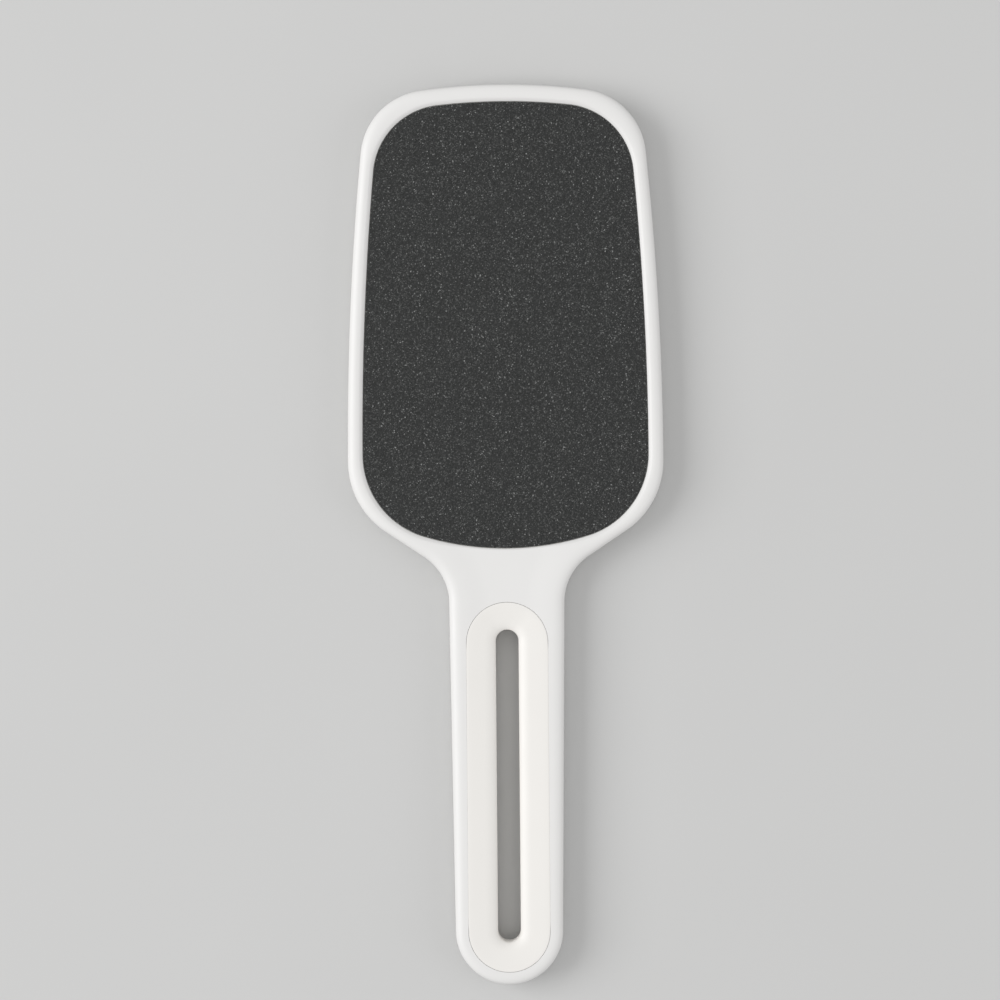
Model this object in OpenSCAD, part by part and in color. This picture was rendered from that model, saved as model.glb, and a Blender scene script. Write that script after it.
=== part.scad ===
// Two-sided foot file: a hollow plastic paddle with an abrasive sheet in each face of its head,
// and a two-piece inlay in its handle that forms a long through slot.
// +Y runs to the tip of the head, +Z out of the coarse face, and Z = 0 is the face that it lies on.

/* [Overall] */
// Length from the end of the handle to the tip of the head
overall_l = 248; // [236:1:262]
// Thickness between the crests of the two faces
thick = 10; // [9.6:0.2:13]

/* [Head] */
// Width of the head where it is widest
head_w = 87; // [82:0.5:92]
// Distance from the tip back to the widest place
widest_from_tip = 103.8; // [98:0.2:110]
// Radius of the slightly bowed long sides
side_bow_r = 866; // [700:2:1100]
// Radius of the arch across the tip
tip_arch_r = 170; // [140:2:230]
// Radius of the two corners at the tip
tip_corner_r = 19; // [16:0.5:22]
// Radius of the two shoulders below the head
shoulder_r = 23.2; // [21:0.2:25]

/* [Handle] */
// Distance from the widest place of the head to where the handle starts
neck_l = 39; // [37.4:0.2:44]
// Radius of the hollow curves at the neck
neck_r = 15.3; // [13:0.1:17.5]
// Width of the handle at the neck
handle_w = 31.8; // [31:0.1:34]
// Width of the handle across its round end
handle_end_w = 29.6; // [29:0.1:31]

/* [Edge and rim] */
// Height of the straight side wall above the parting line
side_flat = 1; // [0.6:0.1:2]
// Depth of the small chamfer that shows the parting line
reveal = 0.15; // [0.1:0.05:0.3]
// How far in from the side the rounded edge reaches its crest
crest_in = 2.3; // [2:0.1:2.6]
// Width of the flat land along the crest
land_w = 0.8; // [0.6:0.1:1]
// How far in from the side the face stops sloping down
valley_in = 5.6; // [5:0.2:8]
// How far the neck lies below the crest
valley_depth = 0.35; // [0.25:0.05:0.5]

/* [Abrasive pads] */
// Width of the rim beside the abrasive
rim_w = 4.1; // [3.9:0.1:4.6]
// Width of the rim at the tip
tip_rim_w = 4.7; // [4.2:0.1:5.5]
// Radius of the pad's corners at the tip
pad_tip_r = 20; // [17:0.5:22]
// Radius of the pad's corners at the neck
pad_corner_r = 23.7; // [21:0.1:26]
// Radius of the arch across the pad's lower edge
pad_arch_r = 77.5; // [72:0.5:90]
// Distance from the widest place of the head down to the pad's lower edge
pad_below = 24.1; // [22:0.1:25.5]
// How far the abrasive lies below the crest
pad_recess = 0.8; // [0.6:0.05:1]
// Width of the rounded inner flank of the rim
flank_w = 1; // [0.7:0.1:1.2]
// Thickness of the coarse sheet with its grit
coarse_t = 0.7; // [0.5:0.05:0.9]
// Thickness of the fine sheet with its grit
fine_t = 0.6; // [0.4:0.05:0.7]
// Thickness of the adhesive film under each sheet
film_t = 0.15; // [0.1:0.05:0.25]
// Gap between a sheet and the wall of its pocket
sheet_gap = 0.2; // [0.1:0.05:0.3]

/* [Inlay and slot] */
// Width of the through slot
slot_w = 6.3; // [5.6:0.1:7]
// Distance from the start of the handle to the centre of the slot's upper round end
slot_below = 10.6; // [8:0.2:14]
// Width of the inlay between the slot and the seam
inlay_leg = 8.05; // [7.6:0.05:8.4]
// Thickness of the inlay's plate
inlay_t = 1.8; // [1.5:0.1:2.2]
// Seam between the inlay and the shell
seam = 0.12; // [0.08:0.02:0.2]
// How far the inlay's outer edge lies below the crest
inlay_sink = 0.35; // [0.2:0.05:0.45]
// Radius of the small rounding along the inlay's outer edge
inlay_edge_r = 0.15; // [0.1:0.05:0.25]
// How much lower the inlay is beside the slot
inlay_dish = 0.4; // [0.2:0.05:0.6]
// Radius of the rounded edge of the slot
slot_edge_r = 0.7; // [0.4:0.1:1]
// Wall of the collar that lines the slot
collar_t = 1; // [0.8:0.1:1.3]

/* [Shell inside] */
// Thickness of the side walls
wall = 2.4; // [2.2:0.1:2.8]
// Thickness of the panels under the abrasive and of the floor under the inlay
panel_t = 1.6; // [1.2:0.1:1.8]
// Thickness of the ribs
rib_t = 1.2; // [1:0.1:1.6]
// Distance between the ribs in the head
rib_pitch = 24; // [20:1:26]
// Number of ribs across the head
rib_rows = 4; // [3:1:4]
// Height of the tongue that runs round the parting line
tongue_h = 0.8; // [0.5:0.1:1]
// Thickness of that tongue
tongue_t = 0.7; // [0.6:0.05:0.8]
// How far in from the side the tongue runs
tongue_in = 0.95; // [0.85:0.05:1]
// Clearance between the pieces inside
clearance = 0.1; // [0.05:0.01:0.15]
// Radius of the locating posts that join the shells
post_r = 1.5; // [1.2:0.1:2]
// How far the posts reach into the other shell
post_reach = 1.4; // [1:0.1:1.6]
// Radius of the bosses round the posts and their sockets
boss_r = 3; // [2.6:0.1:4]
// Radius of the pegs that clip the two inlays together
peg_r = 1.2; // [1:0.1:1.4]
// Wall of the inlay's peg sockets
socket_wall = 0.9; // [0.7:0.1:1.1]
// Clearance between a peg and its socket
peg_gap = 0.05; // [0.03:0.01:0.08]
// Number of pegs along each side of the slot
peg_rows = 4; // [2:1:6]

/* [Hidden] */

$fn = 64;
// How far a cut runs past the face that it opens
overrun = 1;

half_t = thick / 2;
tip_y = overall_l / 2;
end_y = -overall_l / 2;
widest_y = tip_y - widest_from_tip;
neck_y = widest_y - neck_l;

// Steps along each arc of an outline and along each curve of a section
arch_steps = 8;
corner_steps = 10;
bow_steps = 10;
end_steps = 14;
round_steps = 6;
slope_steps = 4;

// An arc as a list of [x, y, normal x, normal y]; side is -1 where the outline is hollow
function arc(centre, r, from, to, steps, side = 1) =
  [for (i = [0 : steps]) let (a = from + (to - from) * i / steps)
    [centre[0] + r * cos(a), centre[1] + r * sin(a), side * cos(a), side * sin(a)]];
// The same arc without its last point, which is where the next arc starts
function open_arc(centre, r, from, to, steps) =
  let (whole = arc(centre, r, from, to, steps)) [for (i = [0 : steps - 1]) whole[i]];
// A right half outline, joined to its mirror image
function both_halves(right) =
  concat(right, [for (i = [len(right) - 2 : -1 : 1])
    [-right[i][0], right[i][1], -right[i][2], right[i][3]]]);
function inset(outline, d) = [for (p = outline) [p[0] - d * p[2], p[1] - d * p[3]]];
function bearing(from, to) = atan2(to[1] - from[1], to[0] - from[0]);
// Normal of the straight line between a bulging arc and a hollow one
function cross_normal(bulge_c, bulge_r, hollow_c, hollow_r, turn) =
  bearing(bulge_c, hollow_c) + turn * acos((bulge_r + hollow_r) / norm(hollow_c - bulge_c));
// Centre of the corner of radius r that lies inside two large circles and touches both
function corner_centre(c1, r1, c2, r2, r) =
  let (gap = norm(c2 - c1), u = (c2 - c1) / gap,
       along = (pow(r1 - r, 2) - pow(r2 - r, 2) + gap * gap) / (2 * gap),
       up = sqrt(pow(r1 - r, 2) - along * along))
  c1 + along * u + up * [-u[1], u[0]];

// Outline of the whole paddle
bow_c = [head_w / 2 - side_bow_r, widest_y];
tip_c = [0, tip_y - tip_arch_r];
tip_corner_c = corner_centre(bow_c, side_bow_r, tip_c, tip_arch_r, tip_corner_r);
shoulder_c = [head_w / 2 - shoulder_r, widest_y];
neck_c = [handle_w / 2 + neck_r, neck_y];
end_r = handle_end_w / 2;
end_c = [0, end_y + end_r];
shoulder_a = cross_normal(shoulder_c, shoulder_r, neck_c, neck_r, 1);
handle_a = cross_normal(end_c, end_r, neck_c, neck_r, -1);
paddle = both_halves(concat(
  open_arc(tip_c, tip_arch_r, 90, bearing(tip_c, tip_corner_c), arch_steps),
  open_arc(tip_corner_c, tip_corner_r, bearing(tip_c, tip_corner_c),
           bearing(bow_c, tip_corner_c), corner_steps),
  open_arc(bow_c, side_bow_r, bearing(bow_c, tip_corner_c), 0, bow_steps),
  arc(shoulder_c, shoulder_r, 0, shoulder_a, corner_steps),
  arc(neck_c, neck_r, 180 + shoulder_a, 180 + handle_a, corner_steps, -1),
  arc(end_c, end_r, handle_a, -90, end_steps)));

// Outline of the pocket for the abrasive
pad_w = head_w - 2 * rim_w;
pad_tip_y = tip_y - tip_rim_w;
pad_end_y = widest_y - pad_below;
pad_arch_c = [0, pad_end_y + pad_arch_r];
pad_corner_x = pad_w / 2 - pad_corner_r;
pad_corner_c = [pad_corner_x,
  pad_arch_c[1] - sqrt(pow(pad_arch_r - pad_corner_r, 2) - pow(pad_corner_x, 2))];
pad_bow_r = side_bow_r - rim_w;
pad_bow_c = [pad_w / 2 - pad_bow_r, pad_corner_c[1]];
pad_tip_arch_r = tip_arch_r - tip_rim_w;
pad_tip_arch_c = [0, pad_tip_y - pad_tip_arch_r];
pad_tip_c = corner_centre(pad_bow_c, pad_bow_r, pad_tip_arch_c, pad_tip_arch_r, pad_tip_r);
pad = both_halves(concat(
  open_arc(pad_tip_arch_c, pad_tip_arch_r, 90, bearing(pad_tip_arch_c, pad_tip_c), arch_steps),
  open_arc(pad_tip_c, pad_tip_r, bearing(pad_tip_arch_c, pad_tip_c),
           bearing(pad_bow_c, pad_tip_c), corner_steps),
  open_arc(pad_bow_c, pad_bow_r, bearing(pad_bow_c, pad_tip_c), 0, bow_steps),
  open_arc(pad_corner_c, pad_corner_r, 0, bearing(pad_arch_c, pad_corner_c), corner_steps),
  arc(pad_arch_c, pad_arch_r, bearing(pad_arch_c, pad_corner_c), -90, arch_steps)));

// Slot and inlay: a long ring whose round ends share the centres of the slot's ends
slot_r = slot_w / 2;
inlay_r = slot_r + inlay_leg;
slot_top_c = [0, neck_y - slot_below];
slot_end_c = end_c;
inlay = both_halves(concat(
  arc(slot_top_c, inlay_r, 90, 0, end_steps),
  arc(slot_end_c, inlay_r, 0, -90, end_steps)));

// Heights above the parting line
pad_face = half_t - pad_recess;
pad_floor = pad_face - coarse_t - film_t;
inlay_face = half_t - inlay_sink;
inlay_floor = inlay_face - inlay_t;
head_hollow = pad_floor - panel_t;
neck_hollow = half_t - valley_depth - panel_t;
handle_hollow = inlay_floor - panel_t;
neck_hollow_top = pad_end_y - wall;
neck_hollow_end = slot_top_c[1] + inlay_r + wall;

// Section of a shell's outside, from the parting line up over the crest and in to the neck's
// shallow hollow: each point is [distance in from the outline, height]
crest_out = crest_in + land_w;
shell_section = concat(
  [[reveal, 0], [0, reveal]],
  [for (i = [0 : round_steps]) let (a = 90 * i / round_steps)
    [crest_in * (1 - cos(a)), side_flat + (half_t - side_flat) * sin(a)]],
  [for (i = [0 : slope_steps]) let (u = i / slope_steps)
    [crest_out + (valley_in - crest_out) * u, half_t - valley_depth * (1 - cos(180 * u)) / 2]]);

// Section of the pad's pocket, with the rim's rounded inner flank
flank_over_share = 1.1;
flank_h = pad_recess * flank_over_share;
pocket_section = concat(
  [[0, pad_floor]],
  [for (i = [0 : round_steps]) let (a = 90 * i / round_steps)
    [-flank_w * (1 - cos(a)), pad_face + flank_h * sin(a)]],
  [[-flank_w, half_t + overrun]]);

// Closed section of the inlay: outer edge, face sloping to the slot, slot wall, collar, underside
function inlay_height(u) = inlay_face - inlay_dish * (1 - cos(90 * u));
slot_edge = slot_edge_r / inlay_leg;
inlay_section = concat(
  [[0, inlay_floor], [0, inlay_face - inlay_edge_r], [inlay_edge_r, inlay_face]],
  [for (i = [1 : slope_steps]) let (u = i / slope_steps * (1 - slot_edge))
    [u * inlay_leg, inlay_height(u)]],
  [for (i = [1 : slope_steps]) let (a = 90 * i / slope_steps)
    [inlay_leg - slot_edge_r * (1 - sin(a)), inlay_height(1 - slot_edge) - slot_edge_r * (1 - cos(a))]],
  [[inlay_leg, clearance / 2], [inlay_leg - collar_t, clearance / 2],
   [inlay_leg - collar_t, inlay_floor]]);

// Places of the ribs, the locating posts and the inlay's pegs
pad_mid_y = (pad_tip_y + pad_end_y) / 2;
rib_xs = [-rib_pitch, 0, rib_pitch];
rib_ys = [for (i = [0 : rib_rows - 1]) pad_mid_y + (i - (rib_rows - 1) / 2) * rib_pitch];
neck_post = [0, (neck_hollow_top + neck_hollow_end) / 2];
posts = concat([neck_post], [for (x = [-rib_pitch, rib_pitch]) for (y = rib_ys) [x, y]]);
peg_x = slot_r + (inlay_leg + collar_t) / 2;
peg_pitch = (slot_top_c[1] - slot_end_c[1]) / peg_rows;
pegs = [for (x = [-peg_x, peg_x]) for (i = [0 : peg_rows - 1])
  [x, slot_end_c[1] + (i + 0.5) * peg_pitch]];
handle_rib_ys = [for (i = [0 : peg_rows]) slot_end_c[1] + i * peg_pitch];
socket_r = peg_r + peg_gap + socket_wall;
peg_reach = inlay_floor - panel_t / 2;

// Solid between rings of the outline, one ring for each point of the section
module loft(outline, section) {
  n = len(outline);
  last = len(section) - 1;
  polyhedron(
    points = [for (s = section) for (p = inset(outline, s[0])) [p[0], p[1], s[1]]],
    faces = concat(
      [[for (i = [n - 1 : -1 : 0]) i], [for (i = [0 : n - 1]) last * n + i]],
      [for (k = [0 : last - 1]) for (i = [0 : n - 1]) let (j = (i + 1) % n)
        [(k + 1) * n + j, (k + 1) * n + i, k * n + i, k * n + j]]));
}

// Ring-shaped solid whose closed section runs round the outline
module ring_loft(outline, section) {
  n = len(outline);
  m = len(section);
  polyhedron(
    points = [for (s = section) for (p = inset(outline, s[0])) [p[0], p[1], s[1]]],
    faces = [for (k = [0 : m - 1]) for (i = [0 : n - 1]) let (j = (i + 1) % n, up = (k + 1) % m)
      [up * n + j, up * n + i, k * n + i, k * n + j]]);
}

// Flat-sided solid of an outline between two heights
module slab(outline, d, from, to) {
  translate([0, 0, from]) linear_extrude(to - from) polygon(inset(outline, d));
}

// Long shape with round ends at the slot's two centres
module long_round(r) {
  translate(slot_top_c) circle(r);
  translate(slot_end_c) circle(r);
  translate([-r, slot_end_c[1]]) square([2 * r, slot_top_c[1] - slot_end_c[1]]);
}

module at(places) {
  for (p = places) translate(p) children();
}

// Plan of the hollow inside a shell between two heights along Y, less its ribs and bosses
module hollow(from_y, to_y, height) {
  translate([0, 0, -overrun]) linear_extrude(height + overrun) difference() {
    intersection() {
      polygon(inset(paddle, wall));
      translate([-head_w / 2, from_y]) square([head_w, to_y - from_y]);
    }
    for (x = rib_xs) translate([x - rib_t / 2, neck_hollow_end]) square([rib_t, overall_l]);
    for (y = concat(rib_ys, handle_rib_ys))
      translate([-head_w / 2, y - rib_t / 2]) square([head_w, rib_t]);
    at(posts) circle(boss_r);
  }
}

// One moulded half of the paddle, standing on the parting line
module half_shell() {
  difference() {
    loft(paddle, shell_section);
    loft(pad, pocket_section);
    translate([0, 0, inlay_floor]) linear_extrude(thick) long_round(inlay_r + seam);
    translate([0, 0, -overrun]) linear_extrude(thick) long_round(slot_r + collar_t + clearance);
    hollow(neck_hollow_top, tip_y, head_hollow);
    hollow(neck_hollow_end, neck_hollow_top, neck_hollow);
    hollow(end_y, neck_hollow_end, handle_hollow);
  }
}

// The tongue's ring, or with a clearance the groove that it fits
module tongue_ring(gap, depth) {
  translate([0, 0, -depth]) linear_extrude(depth + overrun) difference() {
    polygon(inset(paddle, tongue_in - gap));
    polygon(inset(paddle, tongue_in + tongue_t + gap));
  }
}

module front_shell() {
  color([0.93, 0.93, 0.92]) translate([0, 0, half_t]) {
    difference() {
      half_shell();
      translate([0, 0, handle_hollow - overrun]) at(pegs) cylinder(h = thick, r = peg_r + clearance);
    }
    tongue_ring(0, tongue_h);
    translate([0, 0, -post_reach]) at(posts) cylinder(h = post_reach + head_hollow, r = post_r);
  }
}

module back_shell() {
  color([0.92, 0.92, 0.91]) translate([0, 0, half_t]) mirror([0, 0, 1]) difference() {
    half_shell();
    translate([0, 0, handle_hollow - overrun])
      at(pegs) cylinder(h = thick, r = socket_r + clearance);
    mirror([0, 0, 1]) tongue_ring(clearance, tongue_h + clearance);
    translate([0, 0, -overrun]) at(posts)
      cylinder(h = post_reach + clearance + overrun, r = post_r + clearance);
  }
}

// A sheet and its film, from the pocket's floor up
module sheet(t) {
  slab(pad, sheet_gap, pad_floor + film_t, pad_floor + film_t + t);
}
module film() {
  slab(pad, sheet_gap, pad_floor, pad_floor + film_t);
}

module coarse_abrasive_sheet() {
  color([0.2, 0.21, 0.2]) translate([0, 0, half_t]) sheet(coarse_t);
}

module coarse_adhesive_film() {
  color([0.85, 0.8, 0.65]) translate([0, 0, half_t]) film();
}

module fine_abrasive_sheet() {
  color([0.27, 0.28, 0.28]) translate([0, 0, half_t]) mirror([0, 0, 1]) sheet(fine_t);
}

module fine_adhesive_film() {
  color([0.85, 0.8, 0.65]) translate([0, 0, half_t]) mirror([0, 0, 1]) film();
}

// The front inlay carries the pegs and the back one their sockets
module front_inlay() {
  color([0.95, 0.94, 0.9]) translate([0, 0, half_t]) {
    ring_loft(inlay, inlay_section);
    translate([0, 0, -peg_reach])
      at(pegs) cylinder(h = peg_reach + inlay_floor + inlay_t / 2, r = peg_r);
  }
}

module back_inlay() {
  color([0.94, 0.93, 0.89]) translate([0, 0, half_t]) mirror([0, 0, 1]) difference() {
    union() {
      ring_loft(inlay, inlay_section);
      translate([0, 0, clearance / 2]) at(pegs) cylinder(h = inlay_floor + inlay_t / 2, r = socket_r);
    }
    translate([0, 0, -overrun])
      at(pegs) cylinder(h = peg_reach + clearance + overrun, r = peg_r + peg_gap);
  }
}

front_shell();
back_shell();
coarse_abrasive_sheet();
coarse_adhesive_film();
fine_abrasive_sheet();
fine_adhesive_film();
front_inlay();
back_inlay();
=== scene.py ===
import math
import random

import bmesh
import bpy
from mathutils import Matrix, Vector, kdtree


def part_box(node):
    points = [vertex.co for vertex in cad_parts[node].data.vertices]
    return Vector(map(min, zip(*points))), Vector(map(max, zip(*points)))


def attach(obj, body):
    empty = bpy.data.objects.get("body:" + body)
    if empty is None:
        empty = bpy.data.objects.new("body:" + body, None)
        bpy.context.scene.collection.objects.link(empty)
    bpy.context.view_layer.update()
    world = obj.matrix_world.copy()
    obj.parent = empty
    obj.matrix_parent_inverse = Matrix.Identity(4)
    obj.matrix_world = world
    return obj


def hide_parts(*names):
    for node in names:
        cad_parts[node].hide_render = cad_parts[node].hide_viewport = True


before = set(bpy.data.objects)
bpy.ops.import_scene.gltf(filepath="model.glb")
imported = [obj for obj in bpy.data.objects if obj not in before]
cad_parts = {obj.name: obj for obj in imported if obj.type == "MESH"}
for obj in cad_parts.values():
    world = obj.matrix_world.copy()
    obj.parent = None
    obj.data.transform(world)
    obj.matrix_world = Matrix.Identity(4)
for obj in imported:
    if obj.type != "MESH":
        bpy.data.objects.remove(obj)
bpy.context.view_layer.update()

# The two shells: hollow moulded halves of satin white ABS, welded along the parting line that
# shows round the side as a fine V groove. The side rounds up to a narrow crest, and inside it the
# face drops into the pocket of the abrasive, a shallow dish at the neck and the inlay's seat.

MM = 0.001


def mm_box(node):
    """Lowest and highest corner of a CAD node in millimetres."""
    return [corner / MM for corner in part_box(node)]


paddle_low, paddle_high = mm_box("front_shell")
crest_z = paddle_high.z
half_t = crest_z / 2
tip_y, end_y = paddle_high.y, paddle_low.y
head_half_w = paddle_high.x

# Outline of the paddle. All sizes are in millimetres, and a name with _r is a radius
widest_from_tip = 103.8
side_bow_r = 866
tip_arch_r = 170
tip_corner_r = 19
shoulder_r = 23.2
neck_below_widest = 39
neck_r = 15.3
handle_half_w = 15.9
end_r = 14.8

# Section of the side, from the parting line up to the crest, and of the dish at the neck
side_flat = 1
side_fullness = 0.4
reveal = 0.15
crest_in = 3.2
rim_share = 0.6
band_share = 0.75
valley_in = 11
valley_depth = 0.42

# Pocket of the abrasive
rim_w = 4.1
tip_rim_w = 4.7
pad_tip_r = 20
pad_corner_r = 23.7
pad_arch_r = 77.5
pad_below_widest = 24.1
pad_face = 4.2
pad_floor = 3.35
flank_w = 1.6
flank_h = 0.82

# Seat of the inlay, and the slot
slot_r = 3.15
slot_below_neck = 10.6
inlay_leg = 8.05
seam = 0.08
seat_floor = 2.85
seat_edge_r = 0.06
collar_t = 1
clearance = 0.1

widest_y = tip_y - widest_from_tip
neck_y = widest_y - neck_below_widest
inlay_r = slot_r + inlay_leg
slot_top = Vector((0, neck_y - slot_below_neck, 0))
slot_end = Vector((0, end_y + end_r, 0))


def facing(angle):
    """Unit vector at an angle in the plane of the paddle."""
    return Vector((math.cos(angle), math.sin(angle), 0))


def bearing(start, goal):
    """Angle of the way from one point to another."""
    way = goal - start
    return math.atan2(way.y, way.x)


def corner_between(c1, r1, c2, r2, r):
    """Centre of the corner of radius r that lies inside two large circles and touches both."""
    gap = c2 - c1
    along = ((r1 - r) ** 2 - (r2 - r) ** 2 + gap.length_squared) / (2 * gap.length)
    up = math.sqrt((r1 - r) ** 2 - along ** 2)
    u = gap.normalized()
    return c1 + along * u + up * Vector((-u.y, u.x, 0))


def line_normal(bulge_c, bulge_r, hollow_c, hollow_r, turn):
    """Bearing of the normal of the straight line between a bulging arc and a hollow one."""
    lean = math.acos((bulge_r + hollow_r) / (hollow_c - bulge_c).length)
    return bearing(bulge_c, hollow_c) + turn * lean


bow_c = Vector((head_half_w - side_bow_r, widest_y, 0))
tip_c = Vector((0, tip_y - tip_arch_r, 0))
tip_corner_c = corner_between(bow_c, side_bow_r, tip_c, tip_arch_r, tip_corner_r)
shoulder_c = Vector((head_half_w - shoulder_r, widest_y, 0))
neck_c = Vector((handle_half_w + neck_r, neck_y, 0))

# Each arc is (centre, radius, bearing of its normal where it ends), with a negative radius
# where the outline is hollow
paddle_arcs = [
    (tip_c, tip_arch_r, bearing(tip_c, tip_corner_c)),
    (tip_corner_c, tip_corner_r, bearing(bow_c, tip_corner_c)),
    (bow_c, side_bow_r, 0),
    (shoulder_c, shoulder_r, line_normal(shoulder_c, shoulder_r, neck_c, neck_r, 1)),
    (neck_c, -neck_r, line_normal(slot_end, end_r, neck_c, neck_r, -1)),
    (slot_end, end_r, -math.pi / 2),
]

pad_half_w = head_half_w - rim_w
pad_tip_y = tip_y - tip_rim_w
pad_end_y = widest_y - pad_below_widest
pad_arch_c = Vector((0, pad_end_y + pad_arch_r, 0))
pad_corner_x = pad_half_w - pad_corner_r
pad_corner_drop = math.sqrt((pad_arch_r - pad_corner_r) ** 2 - pad_corner_x ** 2)
pad_corner_c = Vector((pad_corner_x, pad_arch_c.y - pad_corner_drop, 0))
pad_bow_r = side_bow_r - rim_w
pad_bow_c = Vector((pad_half_w - pad_bow_r, pad_corner_c.y, 0))
pad_tip_arch_r = tip_arch_r - tip_rim_w
pad_tip_arch_c = Vector((0, pad_tip_y - pad_tip_arch_r, 0))
pad_tip_c = corner_between(pad_bow_c, pad_bow_r, pad_tip_arch_c, pad_tip_arch_r, pad_tip_r)
pad_arcs = [
    (pad_tip_arch_c, pad_tip_arch_r, bearing(pad_tip_arch_c, pad_tip_c)),
    (pad_tip_c, pad_tip_r, bearing(pad_bow_c, pad_tip_c)),
    (pad_bow_c, pad_bow_r, 0),
    (pad_corner_c, pad_corner_r, bearing(pad_arch_c, pad_corner_c)),
    (pad_arch_c, pad_arch_r, -math.pi / 2),
]


def round_ended(r):
    """Arcs of the long shape with round ends at the slot's two centres."""
    return [(slot_top, r, 0), (slot_end, r, -math.pi / 2)]


outline_step = 0.8
touching = 0.01


def new_shape():
    """An empty bmesh whose vertices carry the outward unit of the outline that they follow."""
    bm = bmesh.new()
    bm.verts.layers.float_vector.new("out")
    bm.edges.layers.int.new("spare")
    return bm


def draw_outline(bm, arcs, inward=0.0):
    """Draws the right half of an outline from its top down, mirrors it and returns the loop."""
    out = bm.verts.layers.float_vector["out"]
    older = set(bm.verts)
    angle, pen = math.pi / 2, None
    for centre, r, end in arcs:
        start = centre + r * facing(angle)
        pen = pen or bm.verts.new(start)
        pen[out] = facing(angle)
        straight = start - pen.co
        turn = end - angle
        for length, turned, moved in (
                (straight.length, 0, straight), (abs(r * turn), turn, Vector())):
            if length < touching:
                continue
            steps = math.ceil(length / outline_step)
            drawn = set(bm.verts)
            made = bmesh.ops.spin(
                bm, geom=[pen], cent=centre, axis=(0, 0, 1), angle=turned, dvec=moved / steps,
                steps=steps)
            pen = next(g for g in made["geom_last"] if isinstance(g, bmesh.types.BMVert))
            for v in set(bm.verts) - drawn:
                v[out] = (v.co - centre) / r if turned else facing(angle)
        angle = end
    half = [v for v in bm.verts if v not in older]
    strokes = [e for e in bm.edges if e.verts[0] not in older]
    bmesh.ops.mirror(bm, geom=half + strokes, axis="X", merge_dist=touching)
    for v in set(bm.verts) - older:
        if v.co.x < 0:
            v[out] = (-v[out].x, v[out].y, 0)
        v.co -= inward * v[out]
    return [e for e in bm.edges if e.verts[0] not in older]


def points_of(edges):
    """The vertices of some edges."""
    return {v for e in edges for v in e.verts}


def raise_to(bm, height):
    """Lifts a level drawing to a height."""
    for v in bm.verts:
        v.co.z = height


def sweep(bm, loop, section):
    """Carries a loop through a section of (outward units in from its outline, height) points."""
    out = bm.verts.layers.float_vector["out"]
    for (here, _), (there, height) in zip(section, section[1:]):
        grown = bmesh.ops.extrude_edge_only(bm, edges=loop)["geom"]
        loop = [g for g in grown if isinstance(g, bmesh.types.BMEdge)]
        for v in points_of(loop):
            v.co -= (there - here) * v[out]
            v.co.z = height
    return loop


def tree_of(places):
    """A tree that finds the nearest of some places."""
    tree = kdtree.KDTree(len(places))
    for number, place in enumerate(places):
        tree.insert(place, number)
    tree.balance()
    return tree


def fill_with_grid(bm, loops, cell):
    """Fills the level space between loops with squares that end on the loops' own points,
    and returns the loops again, because their edges are cut and welded on the way."""
    edges = [e for loop in loops for e in loop]
    rims = [points_of(loop) for loop in loops]
    posts = [v for rim in rims for v in rim]
    nearest = tree_of([v.co for v in posts])
    spare = bm.edges.layers.int["spare"]
    bmesh.ops.triangle_fill(bm, use_beauty=True, edges=edges)
    for e in bm.edges:
        e[spare] = not e.is_boundary
    for axis in (Vector((1, 0, 0)), Vector((0, 1, 0))):
        reach = [axis.dot(v.co) / cell for v in posts]
        for line in range(math.floor(min(reach)), math.ceil(max(reach))):
            bmesh.ops.bisect_plane(
                bm, geom=bm.verts[:] + bm.edges[:] + bm.faces[:], plane_no=axis,
                plane_co=(line + 0.5) * cell * axis)
    bmesh.ops.dissolve_edges(bm, edges=[e for e in bm.edges if e[spare]])
    between = [v for v in bm.verts if not v.is_boundary and len(v.link_edges) == 2]
    bmesh.ops.dissolve_verts(bm, verts=between)
    on_rim = {v: posts[nearest.find(v.co)[1]] for v in bm.verts if v.is_boundary}
    strays = {v: post for v, post in on_rim.items() if v != post}
    bmesh.ops.weld_verts(bm, targetmap=strays)
    kept = set(posts)
    stub = cell / 4
    close = {}
    for e in bm.edges:
        ends = [v for v in e.verts if v in kept]
        if len(ends) == 1 and e.calc_length() < stub:
            close[e.other_vert(ends[0])] = ends[0]
    bmesh.ops.weld_verts(bm, targetmap=close)
    borders = [e for e in bm.edges if e.is_boundary]
    return [[e for e in borders if e.verts[0] in rim] for rim in rims]


def depth_gauge(arcs):
    """A function that gives how far a point of the plane lies in from an outline, and its normal
    there."""
    bm = new_shape()
    draw_outline(bm, arcs)
    out = bm.verts.layers.float_vector["out"]
    posts = [(v.co.copy(), v[out].copy()) for v in bm.verts]
    bm.free()
    nearest = tree_of([place for place, _ in posts])

    def depth(point):
        _, number, _ = nearest.find((point.x, point.y, 0))
        place, normal = posts[number]
        return (place - point).dot(normal), normal
    return depth


in_from_paddle = depth_gauge(paddle_arcs)
in_from_pad = depth_gauge(pad_arcs)
in_from_seat = depth_gauge(round_ended(inlay_r + seam))


def share(value, start, end):
    """How far a value has come from start to end, from 0 to 1."""
    return min(max((value - start) / (end - start), 0), 1)


def softer_min(a, b, blend):
    """The lower of two heights, with the corner between them rounded over a blend."""
    mix = share(b - a, -blend, blend)
    return b + (a - b) * mix - blend * mix * (1 - mix)


rim_blend = 0.15


def dish_height(point):
    """Height over the parting line of the crest and of the shallow dish inside it."""
    down = share(in_from_paddle(point)[0], crest_in, valley_in)
    return half_t - valley_depth * (1 - math.cos(math.pi * down)) / 2


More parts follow.
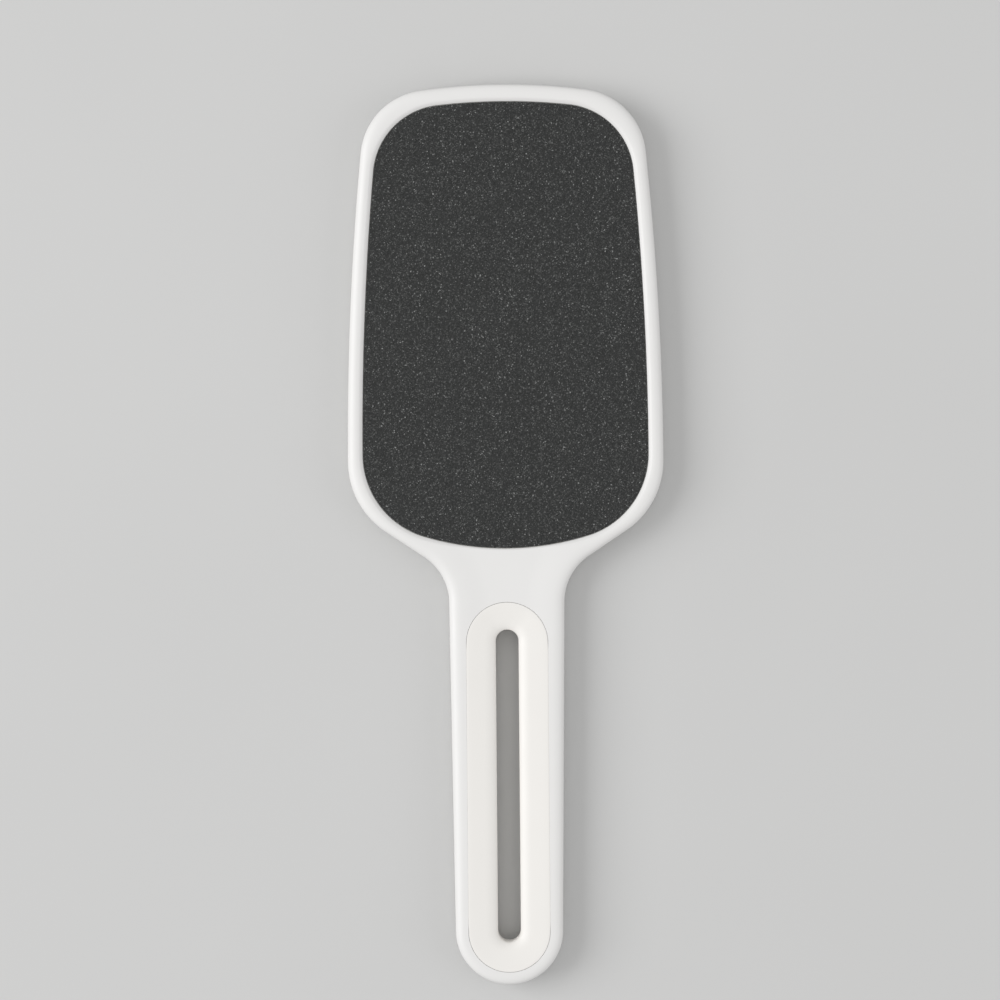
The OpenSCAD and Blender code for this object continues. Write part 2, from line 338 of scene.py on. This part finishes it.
def face_height(point):
    """Height of the moulded face: the dish, the pocket's flank and the seat's rounded edge."""
    beside = -in_from_pad(point)[0]
    rise = share(beside, 0, flank_w)
    flank = pad_face + flank_h * rise * (2 - rise) + max(beside - flank_w, 0)
    edge = max(seat_edge_r + in_from_seat(point)[0], 0)
    edge_drop = seat_edge_r - math.sqrt(max(seat_edge_r ** 2 - edge ** 2, 0))
    return softer_min(dish_height(point), flank, rim_blend) - edge_drop


arc_drop = 0.5
drop_reach = 4


def lower_arc(bm):
    """Lowers the upper round end of the inlay, or of its seat, over the slot, where the inlay is
    a little narrower than beside it."""
    for v in bm.verts:
        depth, _ = in_from_seat(v.co)
        near = share(depth, -drop_reach, 0) * share(depth, inlay_leg + seam, 0)
        v.co.y -= arc_drop * near * share(v.co.y, slot_end.y, slot_top.y)


def quarter(steps):
    """Angles of a quarter turn in even steps."""
    return [math.pi / 2 * i / steps for i in range(steps + 1)]


grid_cell = 0.8
flank_start = 1.05
flank_steps = 10
seat_start = seat_edge_r * 2
edge_steps = 4
side_steps = 16


def shell_shape():
    """One half of the paddle, standing on the parting line at height 0. The side rounds over
    to the crest in a broad curve, and in a narrower one where the rim or the handle is narrow."""
    bm = new_shape()
    out = bm.verts.layers.float_vector["out"]
    crest = draw_outline(bm, paddle_arcs)
    for v in bm.verts:
        rim = -in_from_pad(v.co)[0]
        band = -in_from_seat(v.co)[0]
        v[out] *= min(crest_in, rim_share * rim, band_share * band)
        v.co -= v[out]
    pad = draw_outline(bm, pad_arcs, -flank_start)
    seat = draw_outline(bm, round_ended(inlay_r + seam), -seat_start)
    crest, pad, seat = fill_with_grid(bm, [crest, pad, seat], grid_cell)
    flank = [(-flank_start * (1 - math.cos(a)), 0)
             for a in reversed(quarter(flank_steps)[:-1])]
    pad = sweep(bm, pad, [(-flank_start, 0)] + flank)
    edge = [(-seat_edge_r * (1 - math.sin(a)), 0) for a in quarter(edge_steps)]
    seat = sweep(bm, seat, [(-seat_start, 0)] + edge)
    heights = [face_height(v.co) for v in bm.verts]
    for v, height in zip(bm.verts, heights):
        v.co.z = height
    side = [(1 - math.cos(a),
             side_flat + (half_t - side_flat) * math.sin(a) ** side_fullness)
            for a in reversed(quarter(side_steps))]
    outer = sweep(bm, crest, side + [(0, reveal)])
    for v in points_of(outer):
        v[out] = v[out].normalized()
    outer = sweep(bm, outer, [(0, reveal), (reveal, 0)])
    pad = sweep(bm, pad, [(0, pad_face), (0, pad_floor)])
    bmesh.ops.triangle_fill(bm, use_beauty=True, edges=pad)
    hole_in = inlay_leg + seam - collar_t - clearance
    inner = sweep(bm, seat, [(0, seat_floor), (0, seat_floor), (hole_in, seat_floor), (hole_in, 0)])
    bmesh.ops.triangle_fill(bm, use_beauty=True, edges=outer + inner)
    lower_arc(bm)
    return bm


# Inside of each half: ribs, the bosses of the locating posts, and the joint's tongue or groove
wall = 2.4
panel_t = 1.6
rib_t = 1.2
rib_pitch = 24
rib_rows = 4
boss_r = 3
post_r = 1.5
post_reach = 1.4
tongue_in = 0.95
tongue_t = 0.7
tongue_h = 0.8
peg_r = 1.2
peg_rows = 4
socket_r = 2.15
overrun = 1
pin_sides = 32

hollow_top_y = pad_end_y - wall
hollow_step_y = slot_top.y + inlay_r + wall
pad_mid_y = (pad_tip_y + pad_end_y) / 2
rib_xs = [-rib_pitch, 0, rib_pitch]
rib_ys = [pad_mid_y + (row - (rib_rows - 1) / 2) * rib_pitch for row in range(rib_rows)]
peg_pitch = (slot_top.y - slot_end.y) / peg_rows
handle_rib_ys = [slot_end.y + row * peg_pitch for row in range(peg_rows + 1)]
posts = [Vector((0, (hollow_top_y + hollow_step_y) / 2, 0))]
posts += [Vector((x, y, 0)) for x in (-rib_pitch, rib_pitch) for y in rib_ys]
peg_x = slot_r + (inlay_leg + collar_t) / 2
pegs = [Vector((x, slot_end.y + (row + 0.5) * peg_pitch, 0))
        for x in (-peg_x, peg_x) for row in range(peg_rows)]


def combined(shape, operation, *tools):
    """A shape with others cut out of it or joined to it, which uses all of them up."""
    holders = []
    for bm in (shape, *tools):
        mesh = bpy.data.meshes.new("shape")
        bmesh.ops.recalc_face_normals(bm, faces=bm.faces)
        bm.to_mesh(mesh)
        bm.free()
        holders.append(bpy.data.objects.new("shape", mesh))
        bpy.context.scene.collection.objects.link(holders[-1])
    for tool in holders[1:]:
        step = holders[0].modifiers.new("step", "BOOLEAN")
        step.operation = operation
        step.solver = "MANIFOLD"
        step.object = tool
    made = bmesh.new()
    made.from_object(holders[0], bpy.context.evaluated_depsgraph_get())
    for holder in holders:
        bpy.data.meshes.remove(holder.data)
    return made


def block(low, high):
    """A box between two corners."""
    bm = bmesh.new()
    low, high = Vector(low), Vector(high)
    bmesh.ops.create_cube(
        bm, matrix=Matrix.Translation((low + high) / 2) @ Matrix.Diagonal(high - low).to_4x4())
    return bm


def pins(places, r, low, high):
    """Round pins at some places between two heights."""
    bm = bmesh.new()
    for place in places:
        middle = place + Vector((0, 0, (low + high) / 2))
        bmesh.ops.create_cone(
            bm, cap_ends=True, segments=pin_sides, radius1=r, radius2=r, depth=high - low,
            matrix=Matrix.Translation(middle))
    return bm


def joint_ring(near, far, low, high):
    """A ring between two distances in from the paddle's outline and between two heights."""
    bm = new_shape()
    loop = draw_outline(bm, paddle_arcs, near)
    raise_to(bm, low)
    sweep(bm, loop, [(near, low), (near, high), (far, high), (far, low), (near, low)])
    bmesh.ops.remove_doubles(bm, verts=bm.verts, dist=touching)
    return bm


def raised(bm, faces, height):
    """Extrudes some level faces up to a height and returns the raised ones."""
    grown = bmesh.ops.extrude_face_region(bm, geom=faces)["geom"]
    for v in grown:
        if isinstance(v, bmesh.types.BMVert):
            v.co.z = height
    return [f for f in grown if isinstance(f, bmesh.types.BMFace)]


def hollow_shape():
    """The space inside one half, lowest under the inlay and highest at the neck, without its ribs
    and the bosses of its posts."""
    bm = new_shape()
    bmesh.ops.triangle_fill(bm, use_beauty=True, edges=draw_outline(bm, paddle_arcs, wall))
    for y in (hollow_step_y, hollow_top_y):
        bmesh.ops.bisect_plane(
            bm, geom=bm.verts[:] + bm.edges[:] + bm.faces[:], plane_co=(0, y, 0),
            plane_no=(0, 1, 0))
    raise_to(bm, -overrun)
    ceiling = raised(bm, bm.faces[:], seat_floor - panel_t)
    for end, height in ((tip_y, pad_floor - panel_t),
                        (hollow_top_y, half_t - valley_depth - panel_t)):
        deeper = [f for f in ceiling if hollow_step_y < f.calc_center_median().y < end]
        ceiling = raised(bm, deeper, height)
        bmesh.ops.delete(bm, geom=deeper, context="FACES")
    ribs = [block((x - rib_t / 2, hollow_step_y, -crest_z), (x + rib_t / 2, tip_y, crest_z))
            for x in rib_xs]
    ribs += [block((-head_half_w, y - rib_t / 2, -crest_z), (head_half_w, y + rib_t / 2, crest_z))
             for y in rib_ys + handle_rib_ys]
    return combined(bm, "DIFFERENCE", *ribs, pins(posts, boss_r, -crest_z, crest_z))


crease = math.radians(35)


def to_piece(name, bm, material, on_back=False, smooth=True):
    """A finished piece from a shape in millimetres over the parting line, turned over for the
    back face. A smooth one keeps only its true edges sharp."""
    bmesh.ops.scale(bm, vec=(MM, MM, -MM if on_back else MM), verts=bm.verts)
    bmesh.ops.translate(bm, vec=(0, 0, half_t * MM), verts=bm.verts)
    bmesh.ops.recalc_face_normals(bm, faces=bm.faces)
    for e in bm.edges:
        e.smooth = e.is_manifold and e.calc_face_angle() < crease
    for f in bm.faces:
        f.smooth = smooth
    mesh = bpy.data.meshes.new(name)
    bm.to_mesh(mesh)
    bm.free()
    mesh.materials.append(material)
    piece = bpy.data.objects.new(name, mesh)
    bpy.context.scene.collection.objects.link(piece)
    return piece


class Value:
    """A socket of a finish. An expression on values adds its Math nodes."""

    def __init__(self, finish, socket):
        self.finish = finish
        self.socket = socket

    def maths(self, operation, first, second):
        return self.finish.node("Math", {"operation": operation}, {0: first, 1: second})

    def __add__(self, other):
        return self.maths("ADD", self, other)

    def __radd__(self, other):
        return self.maths("ADD", other, self)

    def __mul__(self, other):
        return self.maths("MULTIPLY", self, other)

    def __rmul__(self, other):
        return self.maths("MULTIPLY", other, self)

    def __pow__(self, other):
        return self.maths("POWER", self, other)


class Finish:
    """A node material round one Principled shader."""

    def __init__(self, name):
        self.material = bpy.data.materials.new(name)
        self.material.use_nodes = True
        self.tree = self.material.node_tree
        self.shader = self.tree.nodes["Principled BSDF"]
        self.place = self.node("TexCoord", {}, {}, "Object")

    def node(self, kind, settings, sockets, output=0):
        """Adds a node of any kind and gives the value of one of its outputs."""
        made = self.tree.nodes.new("ShaderNode" + kind)
        for name, value in settings.items():
            setattr(made, name, value)
        self.fill(made, sockets)
        return Value(self, made.outputs[output])

    def fill(self, node, sockets):
        """Links or sets the sockets of a node."""
        for name, value in sockets.items():
            if isinstance(value, Value):
                self.tree.links.new(value.socket, node.inputs[name])
            else:
                node.inputs[name].default_value = value

    def mix(self, factor, low, high):
        """A colour between two others."""
        return self.node("Mix", {"data_type": "RGBA"}, {0: factor, 6: low, 7: high}, 2)

    def noise(self, scale, detail):
        """Soft random clouds, so many to a metre."""
        return self.node("TexNoise", {}, {"Vector": self.place, "Scale": scale, "Detail": detail})

    def bump(self, height, distance):
        """A bump of a real height: the height's value is in units of the distance."""
        return self.node("Bump", {}, {"Height": height, "Distance": distance})

    def surface(self, **sockets):
        """Sets the Principled shader and gives the finished material."""
        self.fill(self.shader, {name.replace("_", " "): v for name, v in sockets.items()})
        return self.material


sink_depth = 0.12
texture_share = 0.035


def moulded_plastic(name, pale, deep):
    """Satin injection-moulded ABS: faintly clouded, with a fine even texture and slow sink
    marks."""
    moulded = Finish(name)
    clouds = moulded.noise(scale=45, detail=3)
    texture = moulded.noise(scale=2600, detail=2)
    sink = moulded.noise(scale=38, detail=1)
    return moulded.surface(
        Base_Color=moulded.mix(clouds, deep, pale),
        Roughness=0.36 + 0.16 * moulded.noise(scale=150, detail=4),
        Normal=moulded.bump(texture * texture_share + sink, sink_depth * MM),
        IOR=1.53)


shell_white = moulded_plastic(
    "white_moulded_abs", pale=(0.83, 0.823, 0.812, 1), deep=(0.80, 0.793, 0.782, 1))

shell = combined(shell_shape(), "DIFFERENCE", hollow_shape())
back_half = combined(
    shell.copy(), "DIFFERENCE",
    joint_ring(tongue_in - clearance, tongue_in + tongue_t + clearance, -overrun,
               tongue_h + clearance),
    pins(posts, post_r + clearance, -overrun, post_reach + clearance),
    pins(pegs, socket_r + clearance, 0, crest_z))
back_shell = to_piece("back_shell_moulding", back_half, shell_white, on_back=True)
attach(back_shell, "root")
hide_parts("back_shell")
front_half = combined(
    combined(shell, "DIFFERENCE", pins(pegs, peg_r + clearance, 0, crest_z)), "UNION",
    joint_ring(tongue_in, tongue_in + tongue_t, -tongue_h, overrun),
    pins(posts, post_r, -post_reach, overrun))
front_shell = to_piece("front_shell_moulding", front_half, shell_white)
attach(front_shell, "root")
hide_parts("front_shell")

# The adhesive films: thin yellowish transfer glue on the floor of each pocket. Only their cut
# edges show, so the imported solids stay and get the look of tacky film.

glue = Finish("transfer_glue")
glue_haze = glue.noise(scale=900, detail=3)
glue_ripple = 0.01
glue_film = glue.surface(
    Base_Color=glue.mix(glue_haze, (0.50, 0.42, 0.26, 1), (0.66, 0.58, 0.40, 1)),
    Roughness=0.25 + 0.2 * glue_haze,
    Normal=glue.bump(glue.noise(scale=3000, detail=2), glue_ripple * MM))
for name in ("coarse_adhesive_film", "fine_adhesive_film"):
    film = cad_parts[name]
    film.data.materials.clear()
    film.data.materials.append(glue_film)

# The abrasive sheets: dark silicon carbide grit bonded to a backing and cut to the pocket's
# outline. The coat is a bed of angular grains, coarser and rougher on the front than on the back.

sheet_gap = 0.2
film_t = 0.15
stray_share = 0.35


def grit_shape(thickness, pitch, relief, seed):
    """A sheet that fits the pocket, with a bed of grains of about one pitch across."""
    chance = random.Random(seed)
    top = pad_floor + film_t + thickness
    middle = Vector((0, (pad_tip_y + pad_end_y) / 2, top))
    size = Vector((2 * pad_half_w, pad_tip_y - pad_end_y, 1))
    bm = bmesh.new()
    bmesh.ops.create_grid(
        bm, x_segments=round(size.x / pitch), y_segments=round(size.y / pitch), size=0.5,
        matrix=Matrix.Translation(middle) @ Matrix.Diagonal(size).to_4x4())
    gauged = {v: in_from_pad(v.co) for v in bm.verts}
    outside = [v for v in bm.verts if gauged[v][0] < sheet_gap]
    bmesh.ops.delete(bm, geom=outside, context="VERTS")
    for v in bm.verts:
        if v.is_boundary:
            depth, normal = in_from_pad(v.co)
            v.co += (depth - sheet_gap) * normal
            v.co.z = top - relief
        else:
            stray = pitch * stray_share
            v.co += Vector((chance.uniform(-stray, stray), chance.uniform(-stray, stray), 0))
            v.co.z = top - relief * chance.random()
    cut = bmesh.ops.extrude_edge_only(bm, edges=[e for e in bm.edges if e.is_boundary])["geom"]
    for v in cut:
        if isinstance(v, bmesh.types.BMVert):
            v.co.z = pad_floor + film_t
    lower = [e for e in cut if isinstance(e, bmesh.types.BMEdge)]
    bmesh.ops.triangle_fill(bm, use_beauty=True, edges=lower)
    return bm


grey_rarity = 8
# How rare the painted glints are: pale grains painted in as highlights off the grit's facets
painted_glint_rarity = 70
facet_relief = 0.04


def grit_finish(name, grain, dark, grey, pale):
    """Dark mineral grains, each its own shade, some of them grey; a rare few are painted pale, a
    painted glint that stands in for light off their facets.
    """
    grit = Finish(name)
    cells = grit.node("TexVoronoi", {}, {"Vector": grit.place, "Scale": 1 / (grain * MM)}, 1)
    shade = grit.node("SeparateColor", {}, {"Color": cells}, 0)
    painted_glint = grit.node("SeparateColor", {}, {"Color": cells}, 1)
    gloss = grit.node("SeparateColor", {}, {"Color": cells}, 2)
    common = grit.mix(shade ** grey_rarity, dark, grey)
    return grit.surface(
        # The rare pale grains are painted glints, a painted highlight in the base colour and not
        # the grains' own tone
        Base_Color=grit.mix(painted_glint ** painted_glint_rarity, common, pale),
        Roughness=0.55 + 0.3 * gloss,
        Normal=grit.bump(shade, facet_relief * MM),
        IOR=1.5)


coarse_t = 0.7
# pale is the colour of the painted glints on the coarse grit
coarse_grit = grit_finish(
    "coarse_carbide_grit", grain=0.26, dark=(0.014, 0.015, 0.0145, 1),
    grey=(0.10, 0.103, 0.10, 1), pale=(0.30, 0.305, 0.30, 1))
coarse_bed = grit_shape(coarse_t, pitch=0.36, relief=0.14, seed=11)
coarse_sheet = to_piece("coarse_abrasive", coarse_bed, coarse_grit, smooth=False)
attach(coarse_sheet, "root")
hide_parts("coarse_abrasive_sheet")

fine_t = 0.6
# pale is the colour of the painted glints on the fine grit
fine_grit = grit_finish(
    "fine_carbide_grit", grain=0.2, dark=(0.02, 0.021, 0.021, 1),
    grey=(0.09, 0.092, 0.092, 1), pale=(0.35, 0.36, 0.36, 1))
fine_bed = grit_shape(fine_t, pitch=0.4, relief=0.08, seed=12)
fine_sheet = to_piece("fine_abrasive", fine_bed, fine_grit, on_back=True, smooth=False)
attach(fine_sheet, "root")
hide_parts("fine_abrasive_sheet")

# The inlay: two rings of warmer white ABS that clip together through the handle, by pegs on the
# front one and sockets on the back one. Each lies just under the crest, slopes down to the slot
# in a soft curve and lines half of it with a collar.

inlay_face = half_t - valley_depth
inlay_floor = seat_floor
inlay_edge_r = 0.07
inlay_crown = 1.5
slot_edge_z = 4
slot_edge_w = 3
slot_edge_h = 1.1
half_clearance = clearance / 2
leg_spread = 0.07
leg_taper = 2
slope_steps = 10
lip_steps = 10


def inlay_height(t):
    """Height of the inlay's face at a distance in from the seam."""
    near = max(inlay_edge_r - t, 0)
    far = share(t, inlay_leg - slot_edge_w, inlay_leg)
    fall = math.hypot(t, inlay_crown) - inlay_crown
    whole_fall = math.hypot(inlay_leg, inlay_crown) - inlay_crown
    dish = (inlay_face - slot_edge_z) * fall / whole_fall
    seam_round = inlay_edge_r - math.sqrt(inlay_edge_r ** 2 - near ** 2)
    slot_round = slot_edge_h * (1 - math.sqrt(1 - far ** 2))
    return inlay_face - dish - seam_round - slot_round


def inlay_shape():
    """One ring of the inlay. Its outer edge follows the shell's face all along the seam, and its
    legs press closer to the shell than its round ends do."""
    bm = new_shape()
    edge = [inlay_edge_r * (1 - math.cos(a)) for a in quarter(edge_steps)]
    slope_w = inlay_leg - slot_edge_w - inlay_edge_r
    slope = [inlay_edge_r + slope_w * step / slope_steps for step in range(1, slope_steps + 1)]
    lip = [inlay_leg - slot_edge_w * (1 - math.sin(a)) for a in quarter(lip_steps)[1:]]
    section = [(0, inlay_floor)] + [(t, inlay_height(t)) for t in edge + slope + lip]
    section += [(inlay_leg, half_clearance), (inlay_leg - collar_t, half_clearance),
                (inlay_leg - collar_t, inlay_floor), (0, inlay_floor)]
    loop = draw_outline(bm, round_ended(inlay_r))
    raise_to(bm, inlay_floor)
    sweep(bm, loop, section)
    bmesh.ops.remove_doubles(bm, verts=bm.verts, dist=touching)
    for v in bm.verts:
        depth, normal = in_from_seat(v.co)
        lift = dish_height(v.co + depth * normal) - inlay_face
        v.co.z += lift * share(v.co.z, inlay_height(inlay_leg), inlay_face)
        on_leg = (share(slot_top.y - v.co.y, 0, leg_taper)
                  * share(v.co.y - slot_end.y, 0, leg_taper)
                  * share(inlay_leg / 2 - depth, 0, inlay_leg / 4))
        v.co += leg_spread * on_leg * normal
    lower_arc(bm)
    return bm


inlay_ivory = moulded_plastic(
    "ivory_moulded_abs", pale=(0.88, 0.86, 0.828, 1), deep=(0.85, 0.83, 0.798, 1))
ring = inlay_shape()
peg_reach = inlay_floor - panel_t / 2
peg_root = inlay_floor + overrun / 2
socketed = combined(
    combined(ring.copy(), "UNION", pins(pegs, socket_r, half_clearance, peg_root)),
    "DIFFERENCE", pins(pegs, peg_r + half_clearance, -overrun, peg_reach + clearance))
back_inlay = to_piece("back_inlay_ring", socketed, inlay_ivory, on_back=True)
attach(back_inlay, "root")
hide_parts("back_inlay")
pegged = combined(ring, "UNION", pins(pegs, peg_r, -peg_reach, peg_root))
front_inlay = to_piece("front_inlay_ring", pegged, inlay_ivory)
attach(front_inlay, "root")
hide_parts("front_inlay")

# The studio: a plain pale floor that a camera below looks through, a broad soft lamp from the
# photograph's left and a weaker one from its right, a low one that reaches the file but not the
# floor, an even pale sky, and the camera straight above with the photograph's slight turn.

floor_finish = Finish("pale_floor")
floor_paper = floor_finish.surface(
    Base_Color=floor_finish.mix(
        floor_finish.noise(scale=8, detail=2), (0.60, 0.60, 0.595, 1),
        (0.63, 0.63, 0.625, 1)),
    Roughness=0.9)
from_below = floor_finish.node("NewGeometry", {}, {}, "Backfacing")
seen = floor_finish.node("MixShader", {}, {
    0: from_below,
    1: Value(floor_finish, floor_finish.shader.outputs[0]),
    2: floor_finish.node("BsdfTransparent", {}, {})})
floor_finish.fill(floor_finish.tree.nodes["Material Output"], {"Surface": seen})

floor_half_m = 3
floor_gap = 0.2
floor_shape = bmesh.new()
bmesh.ops.create_grid(floor_shape, x_segments=1, y_segments=1, size=floor_half_m)
floor_mesh = bpy.data.meshes.new("floor")
floor_shape.to_mesh(floor_mesh)
floor_shape.free()
floor_mesh.materials.append(floor_paper)
floor = bpy.data.objects.new("floor", floor_mesh)
bpy.context.scene.collection.objects.link(floor)
floor.location.z = -floor_gap * MM

sky = bpy.data.worlds.new("pale_sky")
bpy.context.scene.world = sky
sky.use_nodes = True
sky_light = sky.node_tree.nodes["Background"]
sky_light.inputs["Color"].default_value = (1, 1, 1, 1)
sky_light.inputs["Strength"].default_value = 0.6


def soft_lamp(name, place, size, power):
    """A square area lamp that faces the file, with its place and size in metres."""
    lamp = bpy.data.lights.new(name, "AREA")
    lamp.size = size
    lamp.energy = power
    holder = bpy.data.objects.new(name, lamp)
    holder.location = place
    holder.rotation_euler = (-Vector(place)).to_track_quat("-Z", "Y").to_euler()
    bpy.context.scene.collection.objects.link(holder)
    return holder


soft_lamp("left_lamp", place=(-1.8, 0.2, 1.44), size=1.6, power=30)
soft_lamp("right_lamp", place=(1.7, -0.3, 1.3), size=1.6, power=7)
low_lamp = soft_lamp("low_lamp", place=(-0.12, -0.06, -0.9), size=0.4, power=6)
low_lamp.data.cycles.max_bounces = 0
low_lamp.visible_glossy = False
all_but_floor = bpy.data.collections.new("all_but_floor")
all_but_floor.objects.link(floor)
all_but_floor.collection_objects[0].light_linking.link_state = "EXCLUDE"
low_lamp.light_linking.receiver_collection = all_but_floor
low_lamp.light_linking.blocker_collection = all_but_floor

# The size of one of the photograph's pixels at the face of the file, and where the file's axis
# and middle lie in the picture
pixel_mm = 0.275
frame_px = 1000
axis_px = 506
level_px = 534.5
lean = math.radians(0.47)
camera_m = 1.0
camera = bpy.data.cameras.new("camera")
camera.sensor_width = 36
camera.lens = camera.sensor_width * camera_m / (pixel_mm * frame_px * MM)
viewer = bpy.data.objects.new("camera", camera)
viewer.location = (
    (frame_px / 2 - axis_px) * pixel_mm * MM, (level_px - frame_px / 2) * pixel_mm * MM,
    crest_z * MM + camera_m)
viewer.rotation_euler = (0, 0, -lean)
bpy.context.scene.collection.objects.link(viewer)
bpy.context.scene.camera = viewer
bpy.context.scene.view_settings.view_transform = "Standard"
